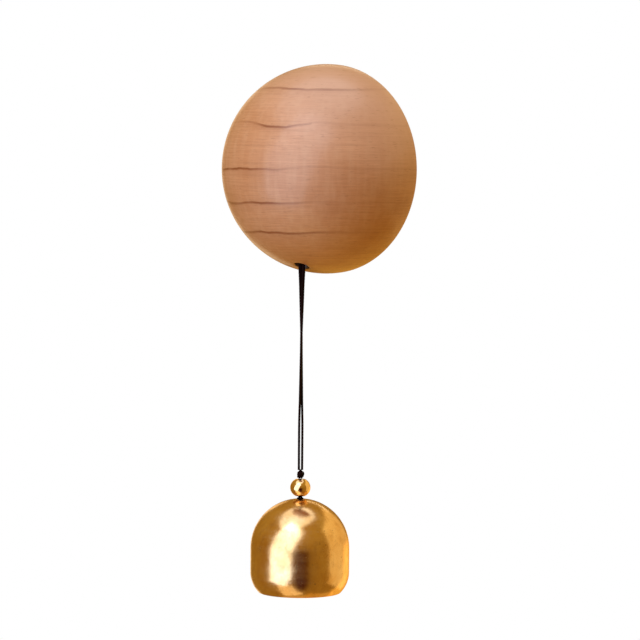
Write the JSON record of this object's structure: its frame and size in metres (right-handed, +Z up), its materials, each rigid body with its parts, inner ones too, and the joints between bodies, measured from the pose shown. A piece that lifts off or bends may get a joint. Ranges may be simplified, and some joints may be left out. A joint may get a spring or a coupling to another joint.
{
  "type": "door chime",
  "caption": "Magnetic door chime: a flat-backed turned wooden ball holds a domed brass bell, with a clapper inside, on a doubled dark cord with a brass bead.",
  "frame": {"origin": "middle of the adhesive pad's back face, where the chime is stuck to a door or wall", "axes": "+Y into the door, -Y towards the room, +Z up, +X to the right as seen from the room"},
  "size_m": [0.06, 0.0349, 0.1509],
  "materials": {
    "foam": "white foam tape, matt",
    "steel": "zinc-plated steel",
    "wood": "turned beech, oiled satin",
    "nickel": "nickel-plated magnet",
    "cord": "waxed cotton cord, very dark brown",
    "bead_brass": "polished brass",
    "bell_brass": "satin brushed brass"
  },
  "bodies": {
    "wall_plate": {"adhesive_pad": "foam", "steel_plate": "steel"},
    "ball": {"wood_ball": "wood", "magnet": "nickel", "anchor_pin": "steel", "cord_loop": "cord"},
    "cord_top": {"cord_top_left": "cord", "cord_top_right": "cord"},
    "cord": {"cord_left": "cord", "cord_right": "cord", "upper_knot": "cord", "bead_cord": "cord"},
    "bead": {"bead": "bead_brass"},
    "neck": {"neck_knot": "cord"},
    "bell": {"bell": "bell_brass", "washer": "bead_brass"},
    "inner_knot": {"inner_knot": "cord"},
    "clapper": {"clapper_cord": "cord", "clapper": "bead_brass", "clapper_knot": "cord"}
  },
  "joints": [
    {"name": "magnet_pull_off", "type": "slide", "parent": "wall_plate", "child": "ball", "axis": [0, -1, 0], "range_m": [0, 0.03]},
    {"name": "cord_swing_front", "type": "hinge", "parent": "ball", "child": "cord_top", "pos_m": [0, -0.0166, -0.02762], "axis": [-1, 0, 0], "range_deg": [-1.5, 75]},
    {"name": "cord_swing_side", "type": "hinge", "parent": "cord_top", "child": "cord", "pos_m": [0, -0.0166, -0.03252], "axis": [0, -1, 0], "range_deg": [-50, 50]},
    {"name": "bead_spin", "type": "hinge", "parent": "cord", "child": "bead", "pos_m": [0, -0.0166, -0.09071], "axis": [0, 0, 1], "continuous": true},
    {"name": "bell_turn", "type": "hinge", "parent": "cord", "child": "neck", "pos_m": [0, -0.0166, -0.09455], "axis": [0, 0, 1], "continuous": true},
    {"name": "bell_tilt", "type": "hinge", "parent": "neck", "child": "bell", "pos_m": [0, -0.0166, -0.09455], "axis": [-1, 0, 0], "range_deg": [-7, 7]},
    {"name": "clapper_turn", "type": "hinge", "parent": "bell", "child": "inner_knot", "pos_m": [0, -0.0166, -0.09654], "axis": [0, 0, 1], "continuous": true},
    {"name": "clapper_swing", "type": "hinge", "parent": "inner_knot", "child": "clapper", "pos_m": [0, -0.0166, -0.09912], "axis": [-1, 0, 0], "range_deg": [-46, 46]}
  ]
}
